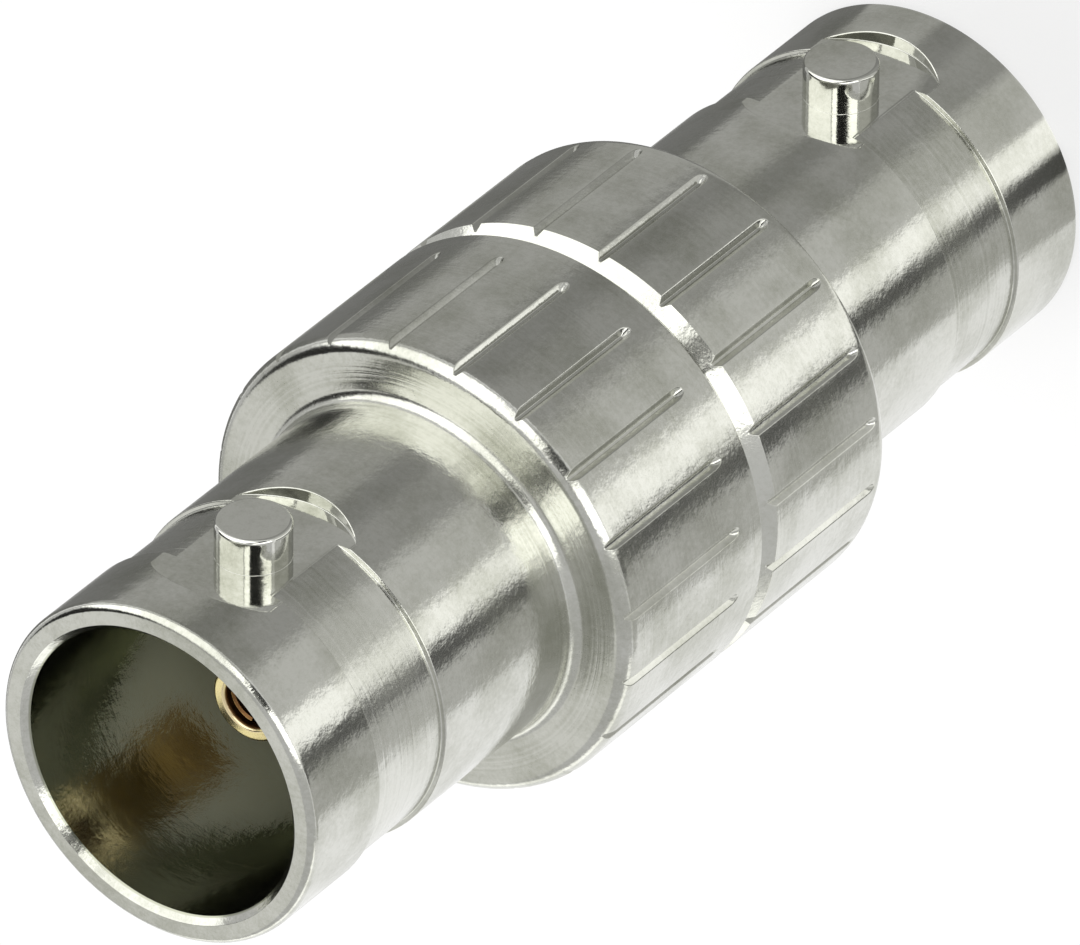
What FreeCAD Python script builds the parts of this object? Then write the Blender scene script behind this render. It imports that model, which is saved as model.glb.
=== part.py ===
import FreeCAD, Part

import os
import re

import Sketcher

# A double socket bayonet adapter, which joins two plugs of the same kind end to end.
# It stands on the rim of its rear socket, with its axis on +Z.
# The origin is the centre of that rim, and all sizes are in millimetres.

# Every size is written once, here, and goes to its own cell of the sheet.
SIZES = {
    "overall_length": 34.0,
    "socket_diameter": 9.65,
    "socket_wall": 0.765,
    "socket_depth": 8.4,
    "rim_rounding": 0.25,
    "bore_chamfer": 0.19,
    "relief_start": 2.85,
    "relief_width": 2.8,
    "relief_cut": 0.13,
    "lug_diameter": 2.0,
    "lug_span": 11.0,
    "lug_setback": 4.1,
    "lug_edge": 0.12,
    "spot_face_diameter": 5.2,
    "spot_face_cut": 0.36,
    "lug_root": 0.1,
    "flange_diameter": 13.0,
    "flange_setback": 11.2,
    "flange_rounding": 0.45,
    "neck_fillet": 0.5,
    "joint_height": 16.55,
    "joint_chamfer": 0.35,
    "rib_count": 20,
    "groove_width": 0.32,
    "groove_floor_width": 0.06,
    "groove_cut": 0.15,
    "front_groove_stop": 1.25,
    "rear_groove_stop": 0.5,
    "seat_bore": 7.2,
    "lip_bore": 6.4,
    "lip_thickness": 0.7,
    "spigot_diameter": 9.4,
    "spigot_length": 3.2,
    "spigot_end_gap": 0.2,
    "fit_clearance": 0.02,
    "contact_diameter": 2.2,
    "contact_setback": 3.85,
    "collar_diameter": 3.4,
    "collar_width": 1.6,
    "pin_bore": 1.36,
    "pin_bore_depth": 4.6,
    "pin_bore_lead": 0.06,
    "tine_diameter": 1.84,
    "tine_gap": 0.05,
    "tine_slot_width": 0.2,
    "tine_slot_length": 3.4,
    "hood_length": 4.3,
    "hood_lip_thickness": 0.25,
    "hood_lip_bore": 1.4,
    "hood_edge": 0.08,
}

DRILL_POINT_SLOPE = 0.6  # height of a drill's point as a share of its radius
PAST_THE_PART = 20.0  # how far a cut runs on outside the piece
TOLERANCE = 1e-4

doc = FreeCAD.newDocument("bayonet_adapter")
sheet = doc.addObject("Spreadsheet::Sheet", "sizes")
for row, (alias, size) in enumerate(SIZES.items(), start=1):
    sheet.set("A%d" % row, alias)
    sheet.set("B%d" % row, str(size))
    sheet.setAlias("B%d" % row, alias)
doc.recompute()


# Formulas of aliases

def bound(formula):
    """Write a formula of aliases as an expression on the sheet."""
    def on_sheet(word):
        return "sizes." + word[0] if word[0] in SIZES else word[0]
    return re.sub(r"[a-z_]+", on_sheet, formula)


def value(formula):
    """Work a formula of aliases out as a plain number."""
    return float(sheet.evalExpression(bound(formula)))


def bind(item, name, formula):
    """Tie a property to a formula of aliases."""
    item.setExpression(name, bound(formula))


# Bodies, sketches and features

def origin_feature(body, role):
    """Find one of a body's own origin planes or axes."""
    return next(item for item in body.Origin.OriginFeatures if item.Role == role)


def new_body(label):
    """Make an empty body, named for its piece."""
    body = doc.addObject("PartDesign::Body", label)
    body.Label = label
    return body


def new_sketch(body, name):
    """Make a sketch on the body's XZ plane, whose own axes run along X and Z."""
    sketch = body.newObject("Sketcher::SketchObject", name)
    sketch.AttachmentSupport = [(origin_feature(body, "XZ_Plane"), "")]
    sketch.MapMode = "FlatFace"
    return sketch


def hold(sketch, edge, end, across, along):
    """Fix a sketch point at its formulas for across and along."""
    for kind, formula, axis in (("DistanceX", across, -2), ("DistanceY", along, -1)):
        if formula == "0":
            sketch.addConstraint(Sketcher.Constraint("PointOnObject", edge, end, axis))
        else:
            rule = Sketcher.Constraint(kind, -1, 1, edge, end, value(formula))
            bind(sketch, "Constraints[%d]" % sketch.addConstraint(rule), formula)


def draw_outline(sketch, points):
    """Draw a closed outline of straight edges through points given as formulas."""
    places = [FreeCAD.Vector(value(across), value(along), 0) for across, along in points]
    first = sketch.GeometryCount
    for index, place in enumerate(places):
        following = places[(index + 1) % len(places)]
        sketch.addGeometry(Part.LineSegment(place, following), False)
    for index, (across, along) in enumerate(points):
        following = first + (index + 1) % len(places)
        sketch.addConstraint(Sketcher.Constraint("Coincident", first + index, 2, following, 1))
        hold(sketch, first + index, 1, across, along)


def draw_circle(sketch, along, diameter):
    """Draw a circle centred on the sketch's upright axis."""
    centre = FreeCAD.Vector(0, value(along), 0)
    circle = Part.Circle(centre, FreeCAD.Vector(0, 0, 1), value(diameter) / 2)
    index = sketch.addGeometry(circle, False)
    hold(sketch, index, 3, "0", along)
    rule = Sketcher.Constraint("Diameter", index, value(diameter))
    bind(sketch, "Constraints[%d]" % sketch.addConstraint(rule), diameter)


def turned(label, points):
    """Turn an outline of radius and height into a new body."""
    body = new_body(label)
    sketch = new_sketch(body, label + "_section")
    draw_outline(sketch, points)
    turning = body.newObject("PartDesign::Revolution", label + "_turning")
    turning.Profile = sketch
    turning.ReferenceAxis = (origin_feature(body, "Z_Axis"), [""])
    turning.Angle = 360
    doc.recompute()
    return body


def rounded(body, name, radius, wanted):
    """Round the edges of a body that pass a test, as many as are wanted."""
    test, count = wanted
    edges = body.Tip.Shape.Edges
    names = ["Edge%d" % number for number, edge in enumerate(edges, start=1) if test(edge)]
    if len(names) != count:
        raise RuntimeError("%s found %d edges, not %d" % (name, len(names), count))
    base = body.Tip
    fillet = body.newObject("PartDesign::Fillet", name)
    fillet.Base = (base, names)
    bind(fillet, "Radius", radius)
    doc.recompute()


def turned_edge(radius, height):
    """Ask for the one edge round the axis at a radius and height."""
    def test(edge):
        if not isinstance(edge.Curve, Part.Circle):
            return False
        centre = edge.Curve.Center
        off = max(abs(centre.x), abs(centre.y), abs(centre.z - value(height)))
        return max(off, abs(edge.Curve.Radius - value(radius))) < TOLERANCE
    return test, 1


def lug_top_edges():
    """Ask for the rims of both lugs' ends."""
    def test(edge):
        if not isinstance(edge.Curve, Part.Circle):
            return False
        return abs(abs(edge.Curve.Center.y) - value("lug_span / 2")) < TOLERANCE
    return test, 2


def cut_outward(body, name, sketch, floor):
    """Cut a sketch out of the -Y side, down to a floor at a distance from the axis."""
    bind(sketch, ".AttachmentOffset.Base.z", floor)
    before = body.Tip.Shape.Volume
    pocket = body.newObject("PartDesign::Pocket", name)
    pocket.Profile = sketch
    pocket.Length = PAST_THE_PART
    pocket.Reversed = True
    doc.recompute()
    if pocket.Shape.Volume >= before:
        raise RuntimeError(name + " cuts nothing")
    return pocket


def repeated(body, name, feature, count, angle=360):
    """Repeat a feature round the body's axis."""
    before = body.Tip.Shape.Volume
    pattern = body.newObject("PartDesign::PolarPattern", name)
    pattern.Originals = [feature]
    pattern.Axis = (origin_feature(body, "Z_Axis"), [""])
    pattern.Angle = angle
    bind(pattern, "Occurrences", count)
    body.Tip = pattern
    doc.recompute()
    if abs(pattern.Shape.Volume - before) < TOLERANCE:
        raise RuntimeError(name + " repeats nothing")


# Shells: each is one socket with its lugs, neck and ribbed grip, turned and milled from bar

def shell(label, height, past_joint, joint_outline, groove_start, groove_end):
    """Build a shell. height turns a depth behind its rim into a height above the origin."""
    bore = "socket_diameter / 2 - socket_wall"
    outline = [
        (bore, height("bore_chamfer")),
        (bore + " + bore_chamfer", height("0")),
        ("socket_diameter / 2", height("0")),
        ("socket_diameter / 2", height("relief_start")),
        ("socket_diameter / 2 - relief_cut", height("relief_start")),
        ("socket_diameter / 2 - relief_cut", height("relief_start + relief_width")),
        ("socket_diameter / 2", height("relief_start + relief_width")),
        ("socket_diameter / 2", height("flange_setback")),
        ("flange_diameter / 2", height("flange_setback")),
        ("flange_diameter / 2", past_joint("joint_chamfer")),
        ("flange_diameter / 2 - joint_chamfer", "joint_height"),
    ]
    outline += joint_outline
    outline += [
        ("seat_bore / 2", height("socket_depth + lip_thickness")),
        ("lip_bore / 2", height("socket_depth + lip_thickness")),
        ("lip_bore / 2", height("socket_depth")),
        (bore, height("socket_depth")),
    ]
    body = turned(label, outline)
    rim = turned_edge("socket_diameter / 2", height("0"))
    rounded(body, label + "_rim", "rim_rounding", rim)
    shoulder = turned_edge("flange_diameter / 2", height("flange_setback"))
    rounded(body, label + "_shoulder", "flange_rounding", shoulder)
    neck = turned_edge("socket_diameter / 2", height("flange_setback"))
    rounded(body, label + "_neck", "neck_fillet", neck)
    mill_lugs(body, label, height("lug_setback"))
    mill_grooves(body, label, groove_start, groove_end)
    return body


def mill_lugs(body, label, lug_height):
    """Mill a flat round spot face about each lug and leave the lug standing in it."""
    spot_sketch = new_sketch(body, label + "_spot_outline")
    draw_circle(spot_sketch, lug_height, "spot_face_diameter")
    floor = "socket_diameter / 2 - spot_face_cut"
    spot_face = cut_outward(body, label + "_spot_face", spot_sketch, floor)
    repeated(body, label + "_spot_faces", spot_face, "2")

    lug_sketch = new_sketch(body, label + "_lug_outline")
    draw_circle(lug_sketch, lug_height, "lug_diameter")
    bind(lug_sketch, ".AttachmentOffset.Base.z", floor + " - lug_root")
    lug = body.newObject("PartDesign::Pad", label + "_lug")
    lug.Profile = lug_sketch
    bind(lug, "Length", "lug_span / 2 - ( " + floor + " - lug_root )")
    doc.recompute()
    repeated(body, label + "_lugs", lug, "2")
    rounded(body, label + "_lug_edges", "lug_edge", lug_top_edges())


def draw_slot(sketch, width, start, end):
    """Draw a slot on the sketch's upright axis, square at its upper start and round at its lower end."""
    centre = "%s + ( %s ) / 2" % (end, width)
    radius = value(width) / 2
    aside = FreeCAD.Vector(radius, 0, 0)
    mouth = FreeCAD.Vector(0, value(start), 0)
    middle = FreeCAD.Vector(0, value(centre), 0)
    tip = FreeCAD.Vector(0, value(end), 0)
    left = sketch.addGeometry(Part.LineSegment(middle - aside, mouth - aside), False)
    across = sketch.addGeometry(Part.LineSegment(mouth - aside, mouth + aside), False)
    right = sketch.addGeometry(Part.LineSegment(mouth + aside, middle + aside), False)
    arc = sketch.addGeometry(Part.Arc(middle + aside, tip, middle - aside), False)
    for rule in (
        ("Coincident", left, 2, across, 1),
        ("Coincident", across, 2, right, 1),
        ("Coincident", right, 2, arc, 2),
        ("Coincident", arc, 1, left, 1),
        ("Vertical", left),
        ("Vertical", right),
        ("Horizontal", across),
        ("Horizontal", arc, 1, arc, 3),
        ("Horizontal", arc, 2, arc, 3),
    ):
        sketch.addConstraint(Sketcher.Constraint(*rule))
    hold(sketch, arc, 3, "0", centre)
    rule = Sketcher.Constraint("Radius", arc, radius)
    bind(sketch, "Constraints[%d]" % sketch.addConstraint(rule), "( %s ) / 2" % width)
    rule = Sketcher.Constraint("DistanceY", -1, 1, across, 1, value(start))
    bind(sketch, "Constraints[%d]" % sketch.addConstraint(rule), start)


def mill_grooves(body, label, start, end):
    """Mill the grip's tapering grooves, with a lug in line with the middle of a rib.

    Each groove is open at the height start, and its blind end is at the height end.
    The cutter's outline is drawn a little outside the ring, where the taper is wider."""
    taper = "( groove_width - groove_floor_width ) / 2"
    sketch = new_sketch(body, label + "_groove_outline")
    draw_slot(sketch, "groove_width + %s / 2" % taper, start, "%s - %s / 4" % (end, taper))
    plane = "( flange_diameter / 2 + groove_cut / 4 )"
    half_rib = "180 deg / rib_count"
    turn = FreeCAD.Rotation(FreeCAD.Vector(0, 1, 0), value(half_rib))
    sketch.AttachmentOffset = FreeCAD.Placement(FreeCAD.Vector(), turn)
    bind(sketch, ".AttachmentOffset.Rotation.Angle", half_rib)
    bind(sketch, ".AttachmentOffset.Base.x", "%s * sin(%s)" % (plane, half_rib))
    bind(sketch, ".AttachmentOffset.Base.z", "%s * cos(%s)" % (plane, half_rib))
    before = body.Tip.Shape.Volume
    groove = body.newObject("PartDesign::Pocket", label + "_groove")
    groove.Profile = sketch
    bind(groove, "Length", "groove_cut * 1.25")
    bind(groove, "TaperAngle", "0 deg - atan(%s / groove_cut)" % taper)
    doc.recompute()
    if groove.Shape.Volume >= before:
        raise RuntimeError(label + "_groove cuts nothing")
    repeated(body, label + "_grooves", groove, "rib_count")


def front_height(depth):
    """Height of a depth behind the front rim, which is the upper one."""
    return "overall_length" if depth == "0" else "overall_length - ( " + depth + " )"


def rear_height(depth):
    """Height of a depth behind the rear rim, which is at the origin."""
    return depth


socket_recess = [
    ("spigot_diameter / 2 + fit_clearance", "joint_height"),
    ("spigot_diameter / 2 + fit_clearance", "joint_height + spigot_length + spigot_end_gap"),
    ("seat_bore / 2", "joint_height + spigot_length + spigot_end_gap"),
]
front_shell = shell(
    "front_shell", front_height, lambda depth: "joint_height + " + depth, socket_recess,
    front_height("flange_setback - groove_width"), "joint_height + front_groove_stop")

spigot = [
    ("spigot_diameter / 2", "joint_height"),
    ("spigot_diameter / 2", "joint_height + spigot_length"),
    ("seat_bore / 2", "joint_height + spigot_length"),
]
rear_shell = shell(
    "rear_shell", rear_height, lambda depth: "joint_height - " + depth, spigot,
    "joint_height + groove_width", rear_height("flange_setback + rear_groove_stop"))


# Insulators: each fills its shell's seat and half of the contact's collar

def insulator(label, height):
    """Build an insulator, whose boss shows flush in the floor of its socket."""
    middle = "overall_length / 2"
    collar_face = height("overall_length / 2 - collar_width / 2")
    return turned(label, [
        ("contact_diameter / 2 + fit_clearance", height("socket_depth")),
        ("lip_bore / 2 - fit_clearance", height("socket_depth")),
        ("lip_bore / 2 - fit_clearance", height("socket_depth + lip_thickness")),
        ("seat_bore / 2 - fit_clearance", height("socket_depth + lip_thickness")),
        ("seat_bore / 2 - fit_clearance", middle),
        ("collar_diameter / 2 + fit_clearance", middle),
        ("collar_diameter / 2 + fit_clearance", collar_face),
        ("contact_diameter / 2 + fit_clearance", collar_face),
    ])


front_insulator = insulator("front_insulator", front_height)
rear_insulator = insulator("rear_insulator", rear_height)


# Centre contact: a spring socket at each end and a collar that the insulators trap

def contact_half(height):
    """List the outline of one end of the contact, from its collar to the bore's point."""
    tine_front = "contact_setback + hood_lip_thickness + tine_gap"
    bore_end = tine_front + " + pin_bore_depth"
    return [
        ("collar_diameter / 2", height("overall_length / 2 - collar_width / 2")),
        ("contact_diameter / 2", height("overall_length / 2 - collar_width / 2")),
        ("contact_diameter / 2", height("contact_setback + hood_length")),
        ("tine_diameter / 2", height("contact_setback + hood_length")),
        ("tine_diameter / 2", height(tine_front)),
        ("pin_bore / 2 + pin_bore_lead", height(tine_front)),
        ("pin_bore / 2", height(tine_front + " + pin_bore_lead")),
        ("pin_bore / 2", height(bore_end)),
        ("0", height(bore_end + " + pin_bore / 2 * %s" % DRILL_POINT_SLOPE)),
    ]


def centre_contact():
    """Build the contact and saw its four tines at each end."""
    outline = contact_half(front_height)
    outline += reversed(contact_half(rear_height))
    body = turned("centre_contact", outline)
    sketch = new_sketch(body, "tine_slot_outline")
    half = "tine_slot_width / 2"
    for height in (front_height, rear_height):
        front = height("contact_setback")
        root = height("contact_setback + hood_lip_thickness + tine_gap + tine_slot_length")
        corners = [("0 - " + half, front), (half, front), (half, root), ("0 - " + half, root)]
        draw_outline(sketch, corners)
    before = body.Tip.Shape.Volume
    slots = body.newObject("PartDesign::Pocket", "tine_slots")
    slots.Profile = sketch
    slots.Length = PAST_THE_PART
    slots.Midplane = True
    doc.recompute()
    if slots.Shape.Volume >= before:
        raise RuntimeError("the tine slots cut nothing")
    repeated(body, "crossed_tine_slots", slots, "2", 90)
    return body


contact = centre_contact()


# Contact hoods: thin sleeves whose lip closes the entry round the tines

def contact_hood(label, height):
    """Build the hood over one end of the contact."""
    body = turned(label, [
        ("hood_lip_bore / 2", height("contact_setback")),
        ("contact_diameter / 2", height("contact_setback")),
        ("contact_diameter / 2", height("contact_setback + hood_length")),
        ("tine_diameter / 2 + fit_clearance", height("contact_setback + hood_length")),
        ("tine_diameter / 2 + fit_clearance", height("contact_setback + hood_lip_thickness")),
        ("hood_lip_bore / 2", height("contact_setback + hood_lip_thickness")),
    ])
    outer = turned_edge("contact_diameter / 2", height("contact_setback"))
    rounded(body, label + "_outer_edge", "hood_edge", outer)
    inner = turned_edge("hood_lip_bore / 2", height("contact_setback"))
    rounded(body, label + "_entry", "hood_edge", inner)
    return body


front_hood = contact_hood("front_contact_hood", front_height)
rear_hood = contact_hood("rear_contact_hood", rear_height)

# Check the document, then write each piece
doc.recompute()
for item in doc.Objects:
    if "Invalid" in item.State or "Error" in item.State:
        raise RuntimeError("%s is %s" % (item.Name, item.State))

pieces = [front_shell, rear_shell, front_insulator, rear_insulator, contact, front_hood, rear_hood]
for piece in pieces:
    if piece.Shape.isNull() or not piece.Shape.isValid() or len(piece.Shape.Solids) != 1:
        raise RuntimeError(piece.Label + " isn't one valid solid")

os.makedirs("parts", exist_ok=True)
for piece in pieces:
    piece.Shape.exportStep("parts/%s.step" % piece.Label)
    print("%-20s %8.2f mm3" % (piece.Label, piece.Shape.Volume))
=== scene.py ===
"""Bayonet barrel adapter: the finished shells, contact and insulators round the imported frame."""
import math

import bmesh
import bpy
import numpy as np
from bpy.props import FloatProperty, FloatVectorProperty, IntProperty, PointerProperty
from mathutils import Euler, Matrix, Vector
from mathutils.geometry import delaunay_2d_cdt


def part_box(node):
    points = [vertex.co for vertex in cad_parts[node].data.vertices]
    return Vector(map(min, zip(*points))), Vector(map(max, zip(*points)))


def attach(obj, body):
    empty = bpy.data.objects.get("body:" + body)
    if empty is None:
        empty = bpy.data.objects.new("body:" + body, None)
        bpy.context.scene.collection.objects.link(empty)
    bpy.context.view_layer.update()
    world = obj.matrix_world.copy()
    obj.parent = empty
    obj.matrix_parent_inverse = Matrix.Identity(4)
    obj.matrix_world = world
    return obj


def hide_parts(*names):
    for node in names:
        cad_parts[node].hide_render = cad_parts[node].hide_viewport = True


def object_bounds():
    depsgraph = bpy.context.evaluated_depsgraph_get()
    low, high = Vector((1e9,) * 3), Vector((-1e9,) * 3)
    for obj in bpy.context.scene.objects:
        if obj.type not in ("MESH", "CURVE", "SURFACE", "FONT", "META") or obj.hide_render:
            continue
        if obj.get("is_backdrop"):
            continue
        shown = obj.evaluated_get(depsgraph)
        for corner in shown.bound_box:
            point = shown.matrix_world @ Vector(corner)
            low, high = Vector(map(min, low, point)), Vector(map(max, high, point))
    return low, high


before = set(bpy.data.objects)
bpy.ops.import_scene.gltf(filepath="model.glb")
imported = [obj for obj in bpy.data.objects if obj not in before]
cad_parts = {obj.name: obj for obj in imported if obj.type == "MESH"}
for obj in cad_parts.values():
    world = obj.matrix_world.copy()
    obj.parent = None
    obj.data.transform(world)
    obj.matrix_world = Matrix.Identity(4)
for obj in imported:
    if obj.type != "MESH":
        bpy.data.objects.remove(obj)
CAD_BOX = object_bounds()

bl_info = {
    "name": "Bayonet barrel adapter",
    "version": (1, 0, 0),
    "blender": (4, 5, 0),
    "location": "3D View > Sidebar > Adapter",
    "description": "Builds a nickel-plated coaxial coupler with a bayonet socket at each end",
    "category": "Object",
}

MM = 0.001
BODY = "root"

# Places read from the frame, in metres
FRONT_LOW, FRONT_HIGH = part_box("front_shell")
REAR_LOW, REAR_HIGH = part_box("rear_shell")
HOOD_LOW, HOOD_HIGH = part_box("front_contact_hood")
SEAT_LOW, SEAT_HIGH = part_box("front_insulator")
FULL_LENGTH = FRONT_HIGH.z
RING_RADIUS = FRONT_HIGH.x
JOINT_HEIGHT = FRONT_LOW.z
SPIGOT_TOP = REAR_HIGH.z
SOCKET_DEPTH = FULL_LENGTH - SEAT_HIGH.z
CONTACT_DEPTH = FULL_LENGTH - HOOD_HIGH.z
HOOD_RADIUS = HOOD_HIGH.x
HOOD_LENGTH = HOOD_HIGH.z - HOOD_LOW.z
LUG_AZIMUTHS = (math.radians(-90), math.radians(90))


# Sizes and colours that a user would change

def length(name, description, millimetres):
    """Declare a length, given in millimetres."""
    return FloatProperty(name=name, description=description, default=millimetres * MM,
                         unit="LENGTH", precision=5)


def colour(name, description, *parts):
    """Declare a colour, given as its red, green and blue."""
    return FloatVectorProperty(name=name, description=description, subtype="COLOR",
                               default=parts, min=0, max=1)


class ShellSizes(bpy.types.PropertyGroup):
    socket_radius: length("Socket radius", "Outside of the bayonet socket", 4.825)
    bore_radius: length("Bore radius", "Inside of the socket", 4.06)
    bore_chamfer: length("Bore chamfer", "Bevel at the mouth of the bore", 0.19)
    rim_rounding: length("Rim rounding", "Rounding outside the mouth", 0.25)
    relief_start: length("Relief start", "Depth of the turned band's first wall", 2.85)
    relief_end: length("Relief end", "Depth of the turned band's second wall", 5.65)
    relief_cut: length("Relief cut", "How deep the turned band lies", 0.13)
    neck_fillet: length("Neck fillet", "Fillet between neck and ring", 0.32)
    ring_depth: length("Ring depth", "Distance from the rim to the ring's face", 11.2)
    ring_rounding: length("Ring rounding", "Rounding of the ring's shoulder", 0.45)
    joint_chamfer: length("Joint chamfer", "Bevel on each ring where the two meet", 0.35)
    edge_break: length("Edge break", "Rounding left on small machined edges", 0.035)
    spigot_radius: length("Spigot radius", "Hidden spigot that holds the shells together", 4.7)
    fit_clearance: length("Fit clearance", "Radial room in the joint", 0.02)
    spigot_end_gap: length("Spigot end gap", "Room past the spigot's end", 0.2)
    seat_radius: length("Seat radius", "Bore that holds the insulator", 3.6)
    lip_radius: length("Lip radius", "Opening in the socket's floor", 3.2)
    lip_thickness: length("Lip thickness", "Thickness of the socket's floor", 0.7)


class MillingSizes(bpy.types.PropertyGroup):
    lug_depth: length("Lug depth", "Distance from the rim to the lugs", 4.1)
    lug_radius: length("Lug radius", "Radius of a lug", 1.0)
    lug_reach: length("Lug reach", "Distance from the axis to a lug's end", 5.5)
    lug_edge: length("Lug edge", "Rounding at a lug's end", 0.12)
    lug_root: length("Lug root", "Fillet at a lug's foot", 0.012)
    spot_radius: length("Spot face radius", "Radius of the flat round a lug", 2.6)
    spot_floor: length("Spot face floor", "Distance from the axis to the flat", 4.465)
    groove_width: length("Groove width", "Width of a grip groove at the ring's surface", 0.32)
    groove_floor_width: length("Groove floor width", "Width of a grip groove at its floor", 0.07)
    groove_floor: length("Groove floor", "Distance from the axis to a groove's floor", 6.35)
    front_groove_stop: length("Front groove stop", "From the joint to the front grooves' ends", 1.25)
    rear_groove_stop: length("Rear groove stop", "From the ring's face to the rear grooves' ends", 0.5)
    rib_count: IntProperty(name="Ribs", description="Ribs round each ring", default=20, min=3)


class FinishColours(bpy.types.PropertyGroup):
    nickel: colour("Nickel", "Plating of the shells", 0.635, 0.638, 0.598)
    gold: colour("Gold", "Plating of the contact", 1.0, 0.84, 0.52)
    insulator: colour("Insulator", "Turned white fluoropolymer", 0.84, 0.84, 0.80)
    floor: colour("Floor", "Pale studio floor", 0.9, 0.9, 0.9)


# Outlines: straight runs with rounded corners, walked by the length along them

ARC_STEP = math.radians(15)
SAME_PLACE = 1e-9
ROUND_OFF = 1e-12


class Outline:
    """An outline through named corners, each given as (radius, height, rounding)."""

    def __init__(self, corners):
        self.runs, self.starts, self.ends, self.length = [], {}, {}, 0.0
        names = list(corners)
        places = [np.array(corners[name][:2], float) for name in names]
        here = places[0]
        for index, name in enumerate(names[1:], start=1):
            corner, rounding = places[index], corners[name][2]
            inward = (corner - places[index - 1]) / np.linalg.norm(corner - places[index - 1])
            outward, turn = inward, 0.0
            if rounding:
                outward = (places[index + 1] - corner) / np.linalg.norm(places[index + 1] - corner)
                turn = math.acos(float(np.clip(inward @ outward, -1, 1)))
            setback = rounding * math.tan(turn / 2)
            self.add_line(here, corner - inward * setback)
            self.starts[name] = self.length
            if rounding:
                self.add_arc(corner - inward * setback, inward, outward, turn, rounding)
            self.ends[name] = self.length
            here = corner + outward * setback

    def add_line(self, start, end):
        reach = float(np.linalg.norm(end - start))
        if reach > SAME_PLACE:
            self.runs.append((self.length, self.length + reach, 0.0, start, (end - start) / reach, None))
            self.length += reach

    def add_arc(self, start, inward, outward, turn, rounding):
        side = outward - inward * float(inward @ outward)
        side /= np.linalg.norm(side)
        end = self.length + turn * rounding
        self.runs.append((self.length, end, rounding, start, inward, side))
        self.length = end

    def at(self, along):
        """Radius and height at lengths along the outline."""
        along = np.asarray(along, float)
        found = np.zeros(along.shape + (2,))
        for start, end, rounding, origin, direction, side in self.runs:
            here = (along >= start - ROUND_OFF) & (along <= end + ROUND_OFF)
            ahead = (along[here] - start)[:, None]
            if rounding:
                angle = ahead / rounding
                found[here] = origin + rounding * (np.sin(angle) * direction + (1 - np.cos(angle)) * side)
            else:
                found[here] = origin + ahead * direction
        for past, run in ((along < 0, self.runs[0]), (along > self.length, self.runs[-1])):
            start, _, _, origin, direction, _ = run
            found[past] = origin + (along[past] - start)[:, None] * direction
        return found[..., 0], found[..., 1]

    def stops(self, first, last):
        """Lengths at which a band between two lengths needs a row of points."""
        found = {first, last}
        for start, end, rounding, *_ in self.runs:
            count = max(1, math.ceil((end - start) / rounding / ARC_STEP)) if rounding else 1
            found.update(start + (end - start) * step / count for step in range(count + 1))
        return sorted(stop for stop in found if first - SAME_PLACE <= stop <= last + SAME_PLACE)


# Meshes gathered from bands of points with their normals

COLUMNS = 240
NORMAL_STEP = 2e-8
EDGE_REACH = 2e-5
MERGE_DISTANCE = 5e-8

# Places this far off the plain surface are milled, more smoothly round the lugs than in the grip
MILLED_DEPTH = 3e-6
SPOT_SMOOTH = 1.0
GROOVE_SMOOTH = 0.45

# Bends per millimetre: where the mask of sharp edges starts, and what it takes to fill it. The nickel plate
# is lightened by this mask as a painted highlight.
EDGE_START = 1.0
EDGE_RANGE = 8.0

# Least values to divide by
LEAST_NORMAL = 1e-30
LEAST_MOVE = 1e-16


def add_object(name, data):
    made = bpy.data.objects.new(name, data)
    bpy.context.scene.collection.objects.link(made)
    return made


def round_axis(angle, radius, depth, front):
    """Points round the axis, at depths behind the front rim or the rear one."""
    height = FULL_LENGTH - depth if front else depth
    return np.stack([radius * np.cos(angle), radius * np.sin(angle), height], axis=-1)


class Skin:
    """A surface gathered as points with normals, faces, and masks of sharp edges and milled places."""

    def __init__(self):
        self.points, self.normals, self.faces, self.count = [], [], [], 0
        self.masks = {"edge": [], "milled": []}

    def add(self, points, normals, edges, faces, milled=False):
        faces = np.asarray(faces, int)
        corners = points[faces]
        facing = np.cross(corners[:, 1] - corners[:, 0], corners[:, 2] - corners[:, 0])
        backward = (facing * normals[faces].sum(axis=1)).sum(axis=1) < 0
        faces[backward] = faces[backward][:, ::-1]
        self.points.append(points)
        self.normals.append(normals)
        self.masks["edge"].append(edges)
        self.masks["milled"].append(np.broadcast_to(np.asarray(milled, float), len(points)))
        self.faces.append(faces + self.count)
        self.count += len(points)

    def piece(self, name, material, slot, node):
        """Merge what was gathered into one smooth object that stands for a CAD node."""
        mesh = bpy.data.meshes.new(name)
        faces = [tuple(face) for group in self.faces for face in group]
        mesh.from_pydata(np.concatenate(self.points), [], faces)
        normal_layer = mesh.attributes.new("turned_normal", "FLOAT_VECTOR", "POINT")
        normal_layer.data.foreach_set("vector", np.concatenate(self.normals).astype(np.float32).ravel())
        for mask, values in self.masks.items():
            mask_layer = mesh.attributes.new(mask, "FLOAT", "POINT")
            mask_layer.data.foreach_set("value", np.concatenate(values).astype(np.float32))
        work = bmesh.new()
        work.from_mesh(mesh)
        bmesh.ops.remove_doubles(work, verts=work.verts, dist=MERGE_DISTANCE)
        bmesh.ops.dissolve_degenerate(work, edges=work.edges, dist=MERGE_DISTANCE)
        work.to_mesh(mesh)
        work.free()
        normals = np.zeros(len(mesh.vertices) * 3, np.float32)
        mesh.attributes["turned_normal"].data.foreach_get("vector", normals)
        mesh.attributes.remove(mesh.attributes["turned_normal"])
        mesh.polygons.foreach_set("use_smooth", [True] * len(mesh.polygons))
        mesh.normals_split_custom_set_from_vertices(normals.reshape(-1, 3).tolist())
        mesh.materials.append(material)
        made = add_object(name, mesh)
        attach(made, BODY)
        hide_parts(node)


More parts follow.
